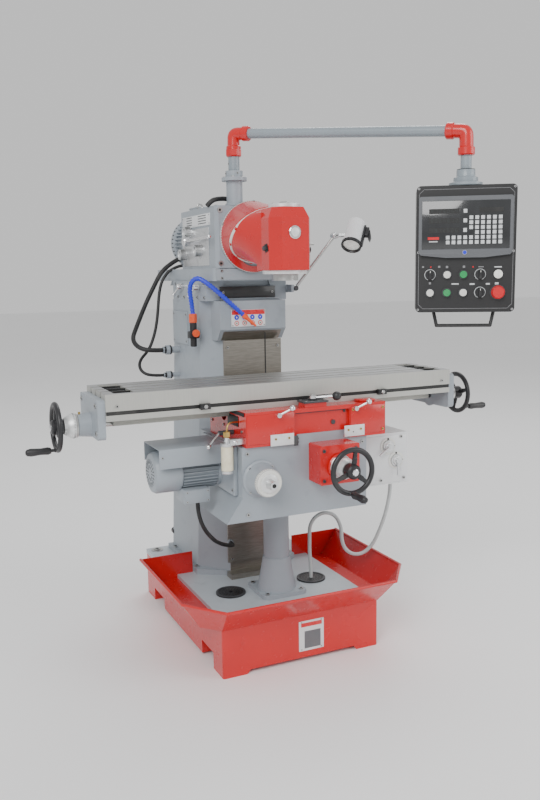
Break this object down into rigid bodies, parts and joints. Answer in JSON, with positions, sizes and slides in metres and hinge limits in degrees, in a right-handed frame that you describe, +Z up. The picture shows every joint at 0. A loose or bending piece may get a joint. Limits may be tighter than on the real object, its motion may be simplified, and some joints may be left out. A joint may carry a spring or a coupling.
{
  "type": "vertical milling machine",
  "caption": "Knee-type milling machine with a swivelling head on a sliding ram, a slotted table with handwheels, a coolant tray and a pendant on an arm.",
  "frame": {"origin": "on the floor, on the machine centre plane, directly below the middle of the table", "axes": "+X right along the table, -Y towards the operator, +Z up"},
  "size_m": [1.722, 1.4243, 1.841],
  "materials": {
    "aluminium": "turned",
    "black_paint": "satin",
    "black_plastic": "matte",
    "black_rubber": "matte",
    "blue_plastic": "satin",
    "chrome": "polished",
    "green_plastic": "gloss",
    "grey_hose": "satin",
    "grey_paint": "painted",
    "grey_plastic": "matte",
    "ground_iron": "ground",
    "red_paint": "gloss",
    "red_plastic": "gloss",
    "steel": "machined",
    "white_paint": "gloss",
    "white_plastic": "gloss"
  },
  "bodies": {
    "machine_base": {"base_plinth": "red_paint", "coolant_tray": "red_paint", "base_casting": "grey_paint", "drain_covers": "black_plastic", "screw_pedestal": "grey_paint", "column": "grey_paint", "column_fittings": "grey_paint", "ram_saddle": "grey_paint", "coolant_line": "blue_plastic", "ram_conduit": "black_rubber", "ram_cable": "black_rubber", "drain_hose": "grey_hose", "motor_lead": "black_rubber"},
    "ram_lock_front": {"ram_lock_lever_front": "chrome"},
    "ram_lock_rear": {"ram_lock_lever_rear": "chrome"},
    "lamp_arm": {"lamp_arm": "steel"},
    "lamp_head": {"lamp_head": "white_paint"},
    "ram": {"ram": "grey_paint", "gearbox_housing": "grey_paint", "main_motor": "grey_paint", "arm_mast": "grey_paint"},
    "drive_shaft": {"drive_shaft": "steel"},
    "speed_lever": {"speed_lever": "chrome"},
    "gear_knob_upper": {"gear_knob_upper": "aluminium"},
    "gear_knob_lower": {"gear_knob_lower": "aluminium"},
    "gear_knob_front": {"gear_knob_front": "aluminium"},
    "pendant_arm": {"pendant_arm": "red_paint"},
    "pendant": {"pendant_box": "black_paint", "readout_panel": "grey_plastic"},
    "emergency_stop": {"emergency_stop": "red_plastic"},
    "head_swivel": {"head_swivel": "red_paint"},
    "head": {"head_body": "red_paint"},
    "spindle": {"spindle": "steel"},
    "knee": {"knee": "grey_paint", "cross_feed_block": "red_paint", "feed_motor": "grey_paint", "feed_gearbox": "white_paint"},
    "elevating_screw": {"elevating_screw": "steel"},
    "elevation_shaft": {"elevation_shaft": "steel"},
    "cross_handwheel": {"cross_handwheel": "black_plastic"},
    "feed_selector_upper": {"feed_selector_upper": "aluminium"},
    "feed_selector_lower": {"feed_selector_lower": "aluminium"},
    "saddle": {"saddle": "red_paint"},
    "saddle_lock_left": {"saddle_lock_left": "chrome"},
    "saddle_lock_right": {"saddle_lock_right": "chrome"},
    "table_feed_lever": {"table_feed_lever": "chrome"},
    "table": {"table": "ground_iron", "table_end_brackets": "grey_paint"},
    "table_screw": {"table_leadscrew": "steel", "table_handwheels": "black_plastic"},
    "stop_dog_left": {"stop_dog_left": "black_paint"},
    "stop_dog_right": {"stop_dog_right": "black_paint"},
    "push_button_1": {"push_button_1": "white_plastic"},
    "push_button_2": {"push_button_2": "green_plastic"},
    "push_button_3": {"push_button_3": "white_plastic"},
    "push_button_4": {"push_button_4": "green_plastic"},
    "push_button_5": {"push_button_5": "white_plastic"},
    "rotary_switch_1": {"rotary_switch_1": "black_plastic"},
    "rotary_switch_2": {"rotary_switch_2": "black_plastic"},
    "rotary_switch_3": {"rotary_switch_3": "black_plastic"}
  },
  "joints": [
    {"name": "knee_lift", "type": "slide", "parent": "machine_base", "child": "knee", "axis": [0, 0, 1], "range_m": [-0.15, 0.15], "deforming": ["drain_hose", "motor_lead"]},
    {"name": "saddle_cross", "type": "slide", "parent": "knee", "child": "saddle", "axis": [0, 1, 0], "range_m": [-0.15, 0.06]},
    {"name": "table_travel", "type": "slide", "parent": "saddle", "child": "table", "axis": [1, 0, 0], "range_m": [-0.3, 0.4]},
    {"name": "table_screw_turn", "type": "hinge", "parent": "table", "child": "table_screw", "pos_m": [0, 0, 0.86], "axis": [1, 0, 0], "continuous": true},
    {"name": "stop_dog_left_slide", "type": "slide", "parent": "table", "child": "stop_dog_left", "axis": [1, 0, 0], "range_m": [-0.2, 0.2]},
    {"name": "stop_dog_right_slide", "type": "slide", "parent": "table", "child": "stop_dog_right", "axis": [1, 0, 0], "range_m": [-0.2, 0.2]},
    {"name": "table_feed_turn", "type": "hinge", "parent": "saddle", "child": "table_feed_lever", "pos_m": [0.052, -0.162, 0.9], "axis": [0, 0, 1], "range_deg": [-30, 30]},
    {"name": "saddle_lock_left_turn", "type": "hinge", "parent": "saddle", "child": "saddle_lock_left", "pos_m": [-0.091, -0.1904, 0.8707], "axis": [0, 1, 0], "range_deg": [-60, 30]},
    {"name": "saddle_lock_right_turn", "type": "hinge", "parent": "saddle", "child": "saddle_lock_right", "pos_m": [0.196, -0.1904, 0.8707], "axis": [0, 1, 0], "range_deg": [-60, 30]},
    {"name": "cross_screw_turn", "type": "hinge", "parent": "knee", "child": "cross_handwheel", "pos_m": [0.097, -0.35, 0.695], "axis": [0, 1, 0], "continuous": true},
    {"name": "elevation_shaft_turn", "type": "hinge", "parent": "knee", "child": "elevation_shaft", "pos_m": [-0.152, -0.25, 0.664], "axis": [0, 1, 0], "continuous": true},
    {"name": "elevating_screw_turn", "type": "hinge", "parent": "knee", "child": "elevating_screw", "pos_m": [0, 0.03, 0.7], "axis": [0, 0, 1], "continuous": true},
    {"name": "feed_selector_upper_turn", "type": "hinge", "parent": "knee", "child": "feed_selector_upper", "pos_m": [0.38, -0.12, 0.706], "axis": [0, 1, 0], "range_deg": [-45, 45]},
    {"name": "feed_selector_lower_turn", "type": "hinge", "parent": "knee", "child": "feed_selector_lower", "pos_m": [0.414, -0.12, 0.652], "axis": [0, 1, 0], "range_deg": [-45, 45]},
    {"name": "ram_travel", "type": "slide", "parent": "machine_base", "child": "ram", "axis": [0, -1, 0], "range_m": [-0.1, 0.2], "deforming": ["ram_conduit", "ram_cable"]},
    {"name": "ram_lock_front_turn", "type": "hinge", "parent": "machine_base", "child": "ram_lock_front", "pos_m": [-0.1604, 0.33, 1.278], "axis": [1, 0, 0], "range_deg": [-45, 45]},
    {"name": "ram_lock_rear_turn", "type": "hinge", "parent": "machine_base", "child": "ram_lock_rear", "pos_m": [-0.1604, 0.515, 1.278], "axis": [1, 0, 0], "range_deg": [-45, 45]},
    {"name": "lamp_arm_tilt", "type": "hinge", "parent": "machine_base", "child": "lamp_arm", "pos_m": [0.184, 0.226, 1.268], "axis": [0, 1, 0], "range_deg": [0, 30]},
    {"name": "lamp_head_tilt", "type": "hinge", "parent": "lamp_arm", "child": "lamp_head", "pos_m": [0.312, 0.15, 1.459], "axis": [0, 1, 0], "range_deg": [-60, 60]},
    {"name": "drive_shaft_turn", "type": "hinge", "parent": "ram", "child": "drive_shaft", "pos_m": [0, 0.4, 1.455], "axis": [0, 1, 0], "continuous": true},
    {"name": "speed_lever_turn", "type": "hinge", "parent": "ram", "child": "speed_lever", "pos_m": [-0.166, 0.446, 1.449], "axis": [1, 0, 0], "range_deg": [-20, 8]},
    {"name": "gear_knob_upper_turn", "type": "hinge", "parent": "ram", "child": "gear_knob_upper", "pos_m": [-0.15, 0.47, 1.483], "axis": [1, 0, 0], "range_deg": [-90, 90]},
    {"name": "gear_knob_lower_turn", "type": "hinge", "parent": "ram", "child": "gear_knob_lower", "pos_m": [-0.15, 0.53, 1.401], "axis": [1, 0, 0], "range_deg": [-90, 90]},
    {"name": "gear_knob_front_turn", "type": "hinge", "parent": "ram", "child": "gear_knob_front", "pos_m": [-0.15, 0.356, 1.411], "axis": [1, 0, 0], "range_deg": [-90, 90]},
    {"name": "head_roll", "type": "hinge", "parent": "ram", "child": "head_swivel", "pos_m": [0, 0.186, 1.455], "axis": [0, 1, 0], "range_deg": [-90, 90]},
    {"name": "head_tilt", "type": "hinge", "parent": "head_swivel", "child": "head", "pos_m": [0, 0.088, 1.455], "axis": [0, -0.7071, -0.7071], "range_deg": [-180, 0]},
    {"name": "spindle_turn", "type": "hinge", "parent": "head", "child": "spindle", "pos_m": [0, -0.07, 1.31], "axis": [0, 0, 1], "continuous": true},
    {"name": "pendant_arm_swing", "type": "hinge", "parent": "ram", "child": "pendant_arm", "pos_m": [-0.05, 0.235, 1.75], "axis": [0, 0, 1], "range_deg": [-90, 45]},
    {"name": "pendant_swivel", "type": "hinge", "parent": "pendant_arm", "child": "pendant", "pos_m": [0.465, -0.418, 1.65], "axis": [0, 0, 1], "range_deg": [-90, 90]},
    {"name": "push_button_1_press", "type": "slide", "parent": "pendant", "child": "push_button_1", "axis": [0.5446, 0.8387, 0], "range_m": [0, 0.0045], "stiffness_N_per_m": 400, "springref_m": -0.001},
    {"name": "push_button_2_press", "type": "slide", "parent": "pendant", "child": "push_button_2", "axis": [0.5446, 0.8387, 0], "range_m": [0, 0.0045], "stiffness_N_per_m": 400, "springref_m": -0.001},
    {"name": "push_button_3_press", "type": "slide", "parent": "pendant", "child": "push_button_3", "axis": [0.5446, 0.8387, 0], "range_m": [0, 0.0045], "stiffness_N_per_m": 400, "springref_m": -0.001},
    {"name": "push_button_4_press", "type": "slide", "parent": "pendant", "child": "push_button_4", "axis": [0.5446, 0.8387, 0], "range_m": [0, 0.0045], "stiffness_N_per_m": 400, "springref_m": -0.001},
    {"name": "push_button_5_press", "type": "slide", "parent": "pendant", "child": "push_button_5", "axis": [0.5446, 0.8387, 0], "range_m": [0, 0.0045], "stiffness_N_per_m": 400, "springref_m": -0.001},
    {"name": "rotary_switch_1_turn", "type": "hinge", "parent": "pendant", "child": "rotary_switch_1", "pos_m": [0.34719, -0.40111, 1.3115], "axis": [-0.5446, -0.8387, 0], "range_deg": [-45, 45]},
    {"name": "rotary_switch_2_turn", "type": "hinge", "parent": "pendant", "child": "rotary_switch_2", "pos_m": [0.47635, -0.48499, 1.3115], "axis": [-0.5446, -0.8387, 0], "range_deg": [-45, 45]},
    {"name": "rotary_switch_3_turn", "type": "hinge", "parent": "pendant", "child": "rotary_switch_3", "pos_m": [0.47635, -0.48499, 1.2555], "axis": [-0.5446, -0.8387, 0], "range_deg": [-45, 45]},
    {"name": "emergency_stop_press", "type": "slide", "parent": "pendant", "child": "emergency_stop", "axis": [0.5446, 0.8387, 0], "range_m": [0, 0.006], "stiffness_N_per_m": 600, "springref_m": -0.001}
  ]
}
